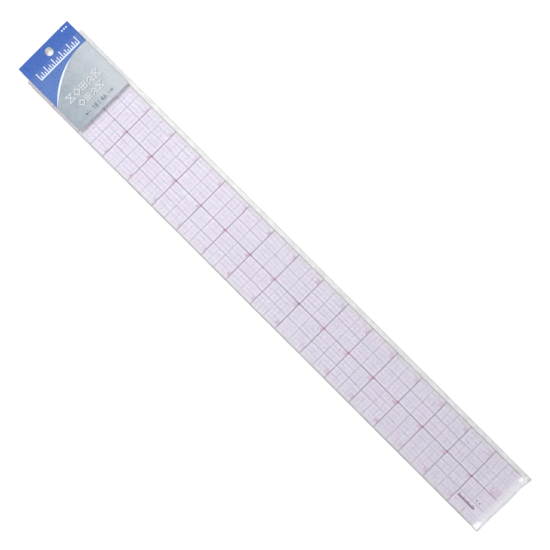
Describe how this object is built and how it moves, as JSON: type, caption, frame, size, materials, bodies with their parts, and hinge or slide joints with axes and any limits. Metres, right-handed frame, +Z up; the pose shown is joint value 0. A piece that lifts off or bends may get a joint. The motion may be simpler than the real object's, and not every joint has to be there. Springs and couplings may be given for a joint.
{
  "type": "quilting ruler",
  "caption": "Clear bevelled inch-grid quilting ruler with a printed hang card, packed in a clear film sleeve open at one end.",
  "frame": {"origin": "centre of the underside of the packed ruler's bounding box, on the surface it lies on", "axes": "+X along the ruler from the hang card and the sleeve's mouth to the sleeve's sealed end, +Z up through the face that is read"},
  "size_m": [0.4764, 0.0556, 0.0024],
  "materials": {
    "clear_acrylic": "clear cast acrylic with a faint lavender tint, polished faces",
    "grid_ink": "thin screen-printed ink, satin",
    "bold_ink": "dense screen-printed ink, satin",
    "inch_ink": "screen-printed plum ink, satin",
    "half_ink": "thin screen-printed ink, satin",
    "quarter_ink": "thin screen-printed ink, satin",
    "eighth_ink": "finest screen-printed ink, satin",
    "number_ink": "magenta red screen-printed ink, satin",
    "patch_ink": "light magenta screen-printed ink, satin",
    "label_ink": "dark magenta screen-printed ink, satin",
    "card_board": "white solid bleached board, uncoated back",
    "blue_print": "blue offset ink under a thin gloss varnish",
    "silver_print": "pale silver-grey offset ink under a thin gloss varnish",
    "white_print": "white, unprinted board under a thin gloss varnish",
    "raised_silver_print": "raised light grey print with a darker lower edge",
    "shade_print": "mid grey offset ink",
    "grey_print": "slate grey offset ink",
    "clear_film": "clear polypropylene film, glossy, slightly wavy",
    "weld_film": "two layers of film fused together, slightly frosted"
  },
  "bodies": {
    "sleeve": {"sleeve_back_film": "clear_film", "sleeve_front_film": "clear_film", "sleeve_side_weld_near": "weld_film", "sleeve_side_weld_far": "weld_film", "sleeve_bottom_seal": "weld_film"},
    "ruler": {"ruler_blade": "clear_acrylic", "border_lines": "grid_ink", "centre_line": "bold_ink", "half_inch_long_lines": "half_ink", "quarter_inch_long_lines": "quarter_ink", "eighth_inch_long_lines": "eighth_ink", "inch_cross_lines": "inch_ink", "half_inch_cross_lines": "half_ink", "quarter_inch_cross_lines": "quarter_ink", "eighth_inch_cross_lines": "eighth_ink", "upper_inch_numbers": "number_ink", "middle_inch_numbers": "number_ink", "lower_inch_numbers": "number_ink", "centre_cross_marks": "number_ink", "fine_grid_patch": "patch_ink", "plain_label_blocks": "label_ink"},
    "hang_card": {"header_card": "card_board", "card_blue_field": "blue_print", "card_silver_field": "silver_print", "card_white_swoosh": "white_print", "card_scale_motif": "white_print", "card_patchwork_motif": "raised_silver_print", "card_patchwork_shade": "shade_print", "card_size_numbers": "grey_print"}
  },
  "joints": [
    {"name": "ruler_slide", "type": "slide", "parent": "sleeve", "child": "ruler", "axis": [-1, 0, 0], "range_m": [0, 0.47]},
    {"name": "card_slide", "type": "slide", "parent": "sleeve", "child": "hang_card", "axis": [-1, 0, 0], "range_m": [0, 0.06]}
  ]
}
